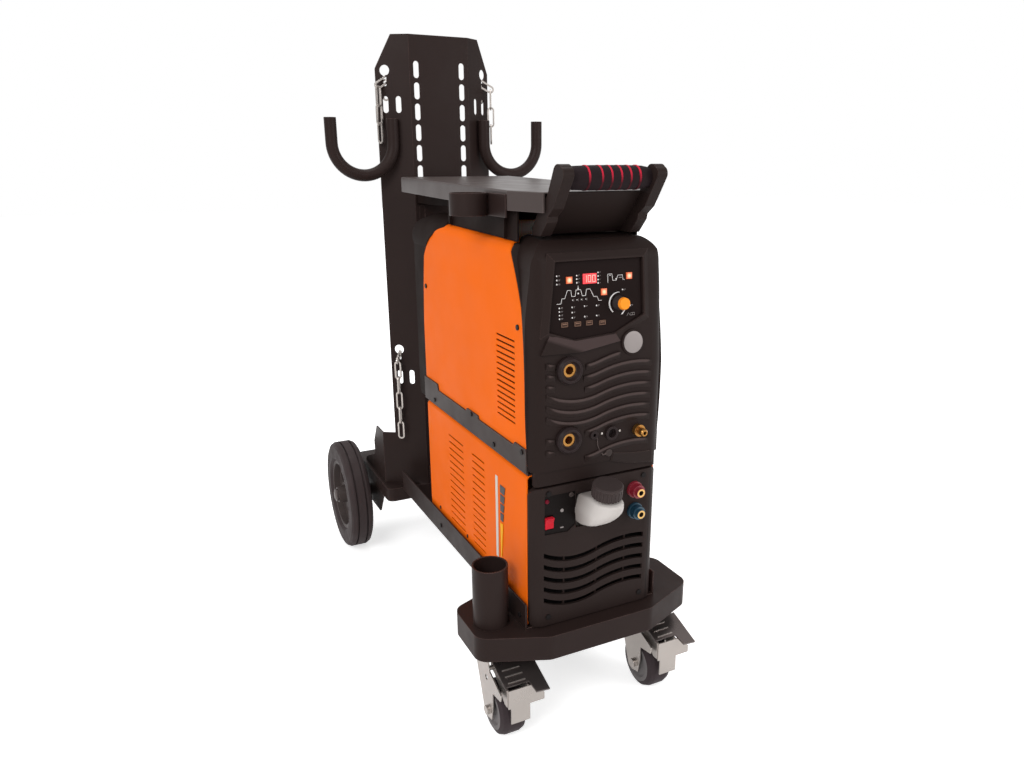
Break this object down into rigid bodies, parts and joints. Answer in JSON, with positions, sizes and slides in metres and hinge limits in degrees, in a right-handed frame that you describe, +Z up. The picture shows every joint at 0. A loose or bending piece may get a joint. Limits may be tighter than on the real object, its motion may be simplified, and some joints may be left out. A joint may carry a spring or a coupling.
{
  "type": "tig welding machine",
  "caption": "Inverter TIG power source stacked on a water cooler, standing in a wheeled trolley with gas-cylinder column, tool tray, cable hooks, rod tube and braked casters.",
  "frame": {"origin": "on the floor, under the middle of the whole machine and trolley", "axes": "+X to the operator's right, -Y towards the front panel, +Z up"},
  "size_m": [0.4898, 1.1, 1.2038],
  "materials": {
    "black_paint": "satin powder coat",
    "grey_paint": "satin powder coat",
    "orange_paint": "satin powder coat",
    "black_plastic": "fine moulded texture",
    "orange_plastic": "satin",
    "grey_plastic": "satin",
    "white_plastic": "milky, slightly translucent",
    "red_plastic": "glossy, lit from inside",
    "coupling_plastic": "satin",
    "clear_plastic": "clear gauge strip",
    "display_red": "lit window",
    "fascia_film": "printed film",
    "grip_rubber": "matt ribbed rubber",
    "tyre_rubber": "matt",
    "caster_rubber": "matt",
    "zinc_steel": "zinc plated",
    "black_steel": "blackened",
    "core_steel": "varnished",
    "aluminium": "as extruded",
    "brass": "machined"
  },
  "bodies": {
    "machine": {"front_platform": "black_paint", "deck_tray": "black_paint", "cylinder_platform": "black_paint", "column": "black_paint", "rear_axle": "zinc_steel", "caster_plates": "zinc_steel", "cable_hooks": "black_paint", "rod_tube": "black_paint", "tool_tray": "black_paint", "torch_ring": "black_paint", "tray_support": "black_paint", "handle_arms": "black_plastic", "handle_apron": "black_plastic", "handle_grip": "grip_rubber", "power_cover": "orange_paint", "power_front_bezel": "black_plastic", "power_rear_bezel": "black_plastic", "unit_bases": "black_paint", "side_straps": "grey_paint", "control_fascia": "fascia_film", "display_window": "display_red", "brass_fittings": "brass", "socket_bodies": "black_plastic", "inverter_module": "aluminium", "main_transformer": "core_steel", "cooler_cover": "orange_paint", "cooler_front_bezel": "black_plastic", "cooler_rear_panel": "black_paint", "coolant_tank": "white_plastic", "hose_couplings": "coupling_plastic", "level_gauge": "clear_plastic", "coolant_pump": "core_steel", "radiator": "aluminium", "chain_anchors": "zinc_steel", "case_screws": "black_steel"},
    "left_rear_wheel": {"left_rear_tyre": "tyre_rubber", "left_rear_rim": "black_plastic"},
    "right_rear_wheel": {"right_rear_tyre": "tyre_rubber", "right_rear_rim": "black_plastic"},
    "left_caster": {"left_caster_fork": "zinc_steel"},
    "left_caster_roller": {"left_caster_wheel": "caster_rubber"},
    "left_brake": {"left_brake_pedal": "zinc_steel"},
    "right_caster": {"right_caster_fork": "zinc_steel"},
    "right_caster_roller": {"right_caster_wheel": "caster_rubber"},
    "right_brake": {"right_brake_pedal": "zinc_steel"},
    "encoder_knob_body": {"encoder_knob": "orange_plastic"},
    "trigger_mode_button_body": {"trigger_mode_button": "orange_plastic"},
    "process_button_body": {"process_button": "orange_plastic"},
    "parameter_button_body": {"parameter_button": "orange_plastic"},
    "function_key_1_body": {"function_key_1": "grey_plastic"},
    "function_key_2_body": {"function_key_2": "grey_plastic"},
    "function_key_3_body": {"function_key_3": "grey_plastic"},
    "function_key_4_body": {"function_key_4": "grey_plastic"},
    "power_rocker_body": {"power_rocker": "red_plastic"},
    "filler_cap_body": {"filler_cap": "black_plastic"},
    "power_fan_rotor_body": {"power_fan_rotor": "black_plastic"},
    "cooler_fan_rotor_body": {"cooler_fan_rotor": "black_plastic"},
    "upper_left_chain_body": {"upper_left_chain": "zinc_steel"},
    "upper_right_chain_body": {"upper_right_chain": "zinc_steel"},
    "lower_left_chain_body": {"lower_left_chain": "zinc_steel"}
  },
  "joints": [
    {"name": "left_rear_wheel_spin", "type": "hinge", "parent": "machine", "child": "left_rear_wheel", "pos_m": [-0.2055, 0.4144, 0.1355], "axis": [1, 0, 0], "continuous": true},
    {"name": "left_caster_swivel", "type": "hinge", "parent": "machine", "child": "left_caster", "pos_m": [-0.15, -0.3811, 0.19], "axis": [0, 0, 1], "continuous": true},
    {"name": "left_caster_roll", "type": "hinge", "parent": "left_caster", "child": "left_caster_roller", "pos_m": [-0.15, -0.4288, 0.048], "axis": [1, 0, 0], "continuous": true},
    {"name": "left_brake_press", "type": "hinge", "parent": "left_caster", "child": "left_brake", "pos_m": [-0.15, -0.4311, 0.132], "axis": [1, 0, 0], "range_deg": [0, 5]},
    {"name": "right_rear_wheel_spin", "type": "hinge", "parent": "machine", "child": "right_rear_wheel", "pos_m": [0.2055, 0.4144, 0.1355], "axis": [1, 0, 0], "continuous": true},
    {"name": "right_caster_swivel", "type": "hinge", "parent": "machine", "child": "right_caster", "pos_m": [0.15, -0.3811, 0.19], "axis": [0, 0, 1], "continuous": true},
    {"name": "right_caster_roll", "type": "hinge", "parent": "right_caster", "child": "right_caster_roller", "pos_m": [0.15, -0.4288, 0.048], "axis": [1, 0, 0], "continuous": true},
    {"name": "right_brake_press", "type": "hinge", "parent": "right_caster", "child": "right_brake", "pos_m": [0.15, -0.4311, 0.132], "axis": [1, 0, 0], "range_deg": [0, 5]},
    {"name": "encoder_turn", "type": "hinge", "parent": "machine", "child": "encoder_knob_body", "pos_m": [0.035, -0.47384, 0.7486], "axis": [0, -0.9976, 0.0699], "continuous": true},
    {"name": "trigger_mode_button_press", "type": "slide", "parent": "machine", "child": "trigger_mode_button_body", "axis": [0, 0.9976, -0.0699], "range_m": [0, 0.001], "stiffness_N_per_m": 900, "springref_m": -0.001},
    {"name": "process_button_press", "type": "slide", "parent": "machine", "child": "process_button_body", "axis": [0, 0.9976, -0.0699], "range_m": [0, 0.001], "stiffness_N_per_m": 900, "springref_m": -0.001},
    {"name": "parameter_button_press", "type": "slide", "parent": "machine", "child": "parameter_button_body", "axis": [0, 0.9976, -0.0699], "range_m": [0, 0.001], "stiffness_N_per_m": 900, "springref_m": -0.001},
    {"name": "function_key_1_press", "type": "slide", "parent": "machine", "child": "function_key_1_body", "axis": [0, 0.9976, -0.0699], "range_m": [0, 0.0006], "stiffness_N_per_m": 900, "springref_m": -0.001},
    {"name": "function_key_2_press", "type": "slide", "parent": "machine", "child": "function_key_2_body", "axis": [0, 0.9976, -0.0699], "range_m": [0, 0.0006], "stiffness_N_per_m": 900, "springref_m": -0.001},
    {"name": "function_key_3_press", "type": "slide", "parent": "machine", "child": "function_key_3_body", "axis": [0, 0.9976, -0.0699], "range_m": [0, 0.0006], "stiffness_N_per_m": 900, "springref_m": -0.001},
    {"name": "function_key_4_press", "type": "slide", "parent": "machine", "child": "function_key_4_body", "axis": [0, 0.9976, -0.0699], "range_m": [0, 0.0006], "stiffness_N_per_m": 900, "springref_m": -0.001},
    {"name": "power_rocker_tilt", "type": "hinge", "parent": "machine", "child": "power_rocker_body", "pos_m": [-0.088, -0.4751, 0.404], "axis": [-1, 0, 0], "range_deg": [0, 16]},
    {"name": "filler_cap_turn", "type": "hinge", "parent": "machine", "child": "filler_cap_body", "pos_m": [-0.0072, -0.5205, 0.4527], "axis": [0, -0.1736, 0.9848], "range_deg": [0, 540]},
    {"name": "power_fan_spin", "type": "hinge", "parent": "machine", "child": "power_fan_rotor_body", "pos_m": [0, 0.0259, 0.645], "axis": [0, 1, 0], "continuous": true},
    {"name": "cooler_fan_spin", "type": "hinge", "parent": "machine", "child": "cooler_fan_rotor_body", "pos_m": [0, 0.0009, 0.35], "axis": [0, 1, 0], "continuous": true},
    {"name": "upper_left_chain_swing", "type": "hinge", "parent": "machine", "child": "upper_left_chain_body", "pos_m": [-0.1262, 0.21843, 1.1041], "axis": [-0.373, 0.9278, 0], "range_deg": [0, 35]},
    {"name": "upper_right_chain_swing", "type": "hinge", "parent": "machine", "child": "upper_right_chain_body", "pos_m": [0.1262, 0.21843, 1.1041], "axis": [-0.373, -0.9278, 0], "range_deg": [0, 35]},
    {"name": "lower_left_chain_swing", "type": "hinge", "parent": "machine", "child": "lower_left_chain_body", "pos_m": [-0.11899, 0.20965, 0.5201], "axis": [-0.8377, 0.5461, 0], "range_deg": [0, 40]}
  ]
}
